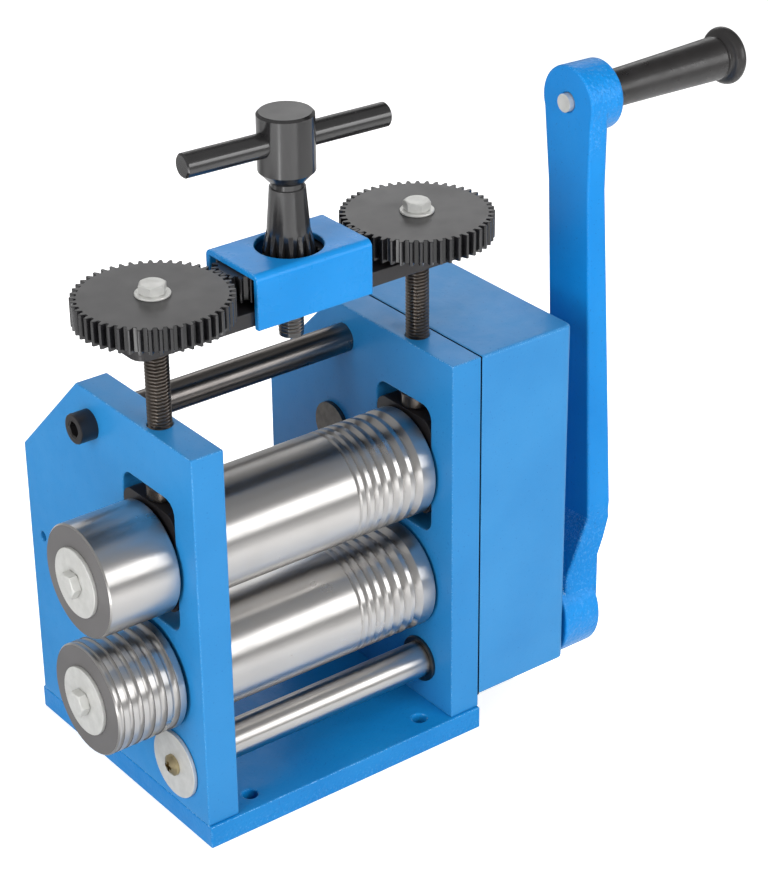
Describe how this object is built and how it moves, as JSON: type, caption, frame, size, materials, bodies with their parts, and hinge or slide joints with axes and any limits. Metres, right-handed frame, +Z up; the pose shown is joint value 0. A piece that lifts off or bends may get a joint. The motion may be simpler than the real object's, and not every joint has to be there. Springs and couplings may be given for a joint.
{
  "type": "jewellers rolling mill",
  "caption": "Hand cranked combination rolling mill: geared rolls with flat, square and half round zones in a blue plate frame, set by a tee handle and gears.",
  "frame": {"origin": "centre of the base plate's underside, on the bench", "axes": "+Z up, +X along the rolls towards the gearbox and crank, -Y the infeed side that faces the operator"},
  "size_m": [0.3468, 0.134, 0.2965],
  "materials": {
    "blue_paint": "semi-gloss blue paint",
    "cast_blue": "semi-gloss blue paint on a rough casting",
    "bracket_blue": "gloss blue paint on bent sheet",
    "polished_steel": "ground and polished steel",
    "gear_steel": "machined steel, oiled",
    "dark_steel": "dark oiled steel",
    "zinc_plate": "zinc plate",
    "yellow_zinc": "yellow zinc plate",
    "bronze": "bearing bronze",
    "gunmetal": "black oxide, satin",
    "black_oxide": "black oxide, dull",
    "grip_black": "satin black"
  },
  "bodies": {
    "frame": {"base_plate": "blue_paint", "left_side_plate": "blue_paint", "right_side_plate": "blue_paint", "gearbox_cover": "cast_blue", "tie_rod": "dark_steel", "tie_rod_screws": "black_oxide", "base_screws": "black_oxide", "cover_screws": "black_oxide", "cover_stud": "zinc_plate", "left_lower_bush": "bronze", "right_lower_bush": "bronze", "left_shaft_bush": "bronze", "right_shaft_bush": "bronze", "cover_shaft_bush": "bronze"},
    "carriage": {"left_bearing_block": "black_oxide", "right_bearing_block": "black_oxide", "block_grub_screws": "black_oxide", "bridge_bar": "black_oxide", "gear_bracket": "bracket_blue", "bracket_screws": "zinc_plate", "idler_pins": "zinc_plate"},
    "left_screw": {"left_adjusting_screw": "dark_steel", "left_screw_gear": "black_oxide", "left_gear_washer": "zinc_plate", "left_gear_bolt": "zinc_plate"},
    "right_screw": {"right_adjusting_screw": "dark_steel", "right_screw_gear": "black_oxide", "right_gear_washer": "zinc_plate", "right_gear_bolt": "zinc_plate"},
    "left_idler": {"left_idler_gear": "black_oxide"},
    "right_idler": {"right_idler_gear": "black_oxide"},
    "handle": {"handle_spindle": "gunmetal", "tee_bar": "gunmetal", "spindle_nut": "black_oxide"},
    "upper_roll_set": {"upper_roll": "polished_steel", "plain_side_roll": "polished_steel", "upper_end_washer": "zinc_plate", "upper_end_bolt": "zinc_plate", "upper_roll_gear": "gear_steel", "upper_roll_keys": "gear_steel", "upper_gear_nut": "zinc_plate"},
    "lower_roll_set": {"lower_roll": "polished_steel", "grooved_side_roll": "polished_steel", "lower_end_washer": "zinc_plate", "lower_end_bolt": "zinc_plate", "lower_roll_gear": "gear_steel", "drive_wheel": "gear_steel", "lower_roll_keys": "gear_steel", "lower_gear_nut": "zinc_plate"},
    "crank": {"drive_shaft": "polished_steel", "drive_pinion": "gear_steel", "shaft_end_washer": "zinc_plate", "shaft_end_screw": "yellow_zinc", "drive_keys": "gear_steel", "crank_arm": "cast_blue", "crank_washer": "zinc_plate", "crank_bolt": "zinc_plate", "grip_bolt": "zinc_plate"},
    "grip": {"crank_grip": "grip_black"}
  },
  "joints": [
    {"name": "carriage_lift", "type": "slide", "parent": "frame", "child": "carriage", "axis": [0, 0, 1], "range_m": [-0.0074, 0]},
    {"name": "handle_turn", "type": "hinge", "parent": "carriage", "child": "handle", "pos_m": [0, -0.0325, 0.26], "axis": [0, 0, 1], "range_deg": [-5802, 0]},
    {"name": "left_screw_turn", "type": "hinge", "parent": "carriage", "child": "left_screw", "pos_m": [-0.06375, -0.0325, 0.2], "axis": [0, 0, 1], "range_deg": [-1777, 0]},
    {"name": "right_screw_turn", "type": "hinge", "parent": "carriage", "child": "right_screw", "pos_m": [0.06375, -0.0325, 0.2], "axis": [0, 0, 1], "range_deg": [-1777, 0]},
    {"name": "left_idler_turn", "type": "hinge", "parent": "carriage", "child": "left_idler", "pos_m": [-0.02125, -0.0325, 0.232], "axis": [0, 0, 1], "range_deg": [0, 4581]},
    {"name": "right_idler_turn", "type": "hinge", "parent": "carriage", "child": "right_idler", "pos_m": [0.02125, -0.0325, 0.232], "axis": [0, 0, 1], "range_deg": [0, 4581]},
    {"name": "crank_turn", "type": "hinge", "parent": "frame", "child": "crank", "pos_m": [0.1, -0.0437, 0.03056], "axis": [1, 0, 0], "continuous": true},
    {"name": "lower_roll_turn", "type": "hinge", "parent": "frame", "child": "lower_roll_set", "pos_m": [0, -0.0325, 0.07], "axis": [1, 0, 0], "continuous": true},
    {"name": "upper_roll_turn", "type": "hinge", "parent": "carriage", "child": "upper_roll_set", "pos_m": [0, -0.0325, 0.1255], "axis": [1, 0, 0], "continuous": true},
    {"name": "grip_turn", "type": "hinge", "parent": "crank", "child": "grip", "pos_m": [0.2, -0.03346, 0.26604], "axis": [1, 0, 0], "continuous": true}
  ],
  "couplings": [
    {"joint": "handle_turn", "follows": "carriage_lift", "rad_per_m": 13683},
    {"joint": "left_screw_turn", "follows": "carriage_lift", "rad_per_m": 4188.8},
    {"joint": "right_screw_turn", "follows": "carriage_lift", "rad_per_m": 4188.8},
    {"joint": "left_idler_turn", "follows": "carriage_lift", "rad_per_m": -10803},
    {"joint": "right_idler_turn", "follows": "carriage_lift", "rad_per_m": -10803},
    {"joint": "lower_roll_turn", "follows": "crank_turn", "ratio": -0.41379},
    {"joint": "upper_roll_turn", "follows": "crank_turn", "ratio": 0.41379}
  ]
}
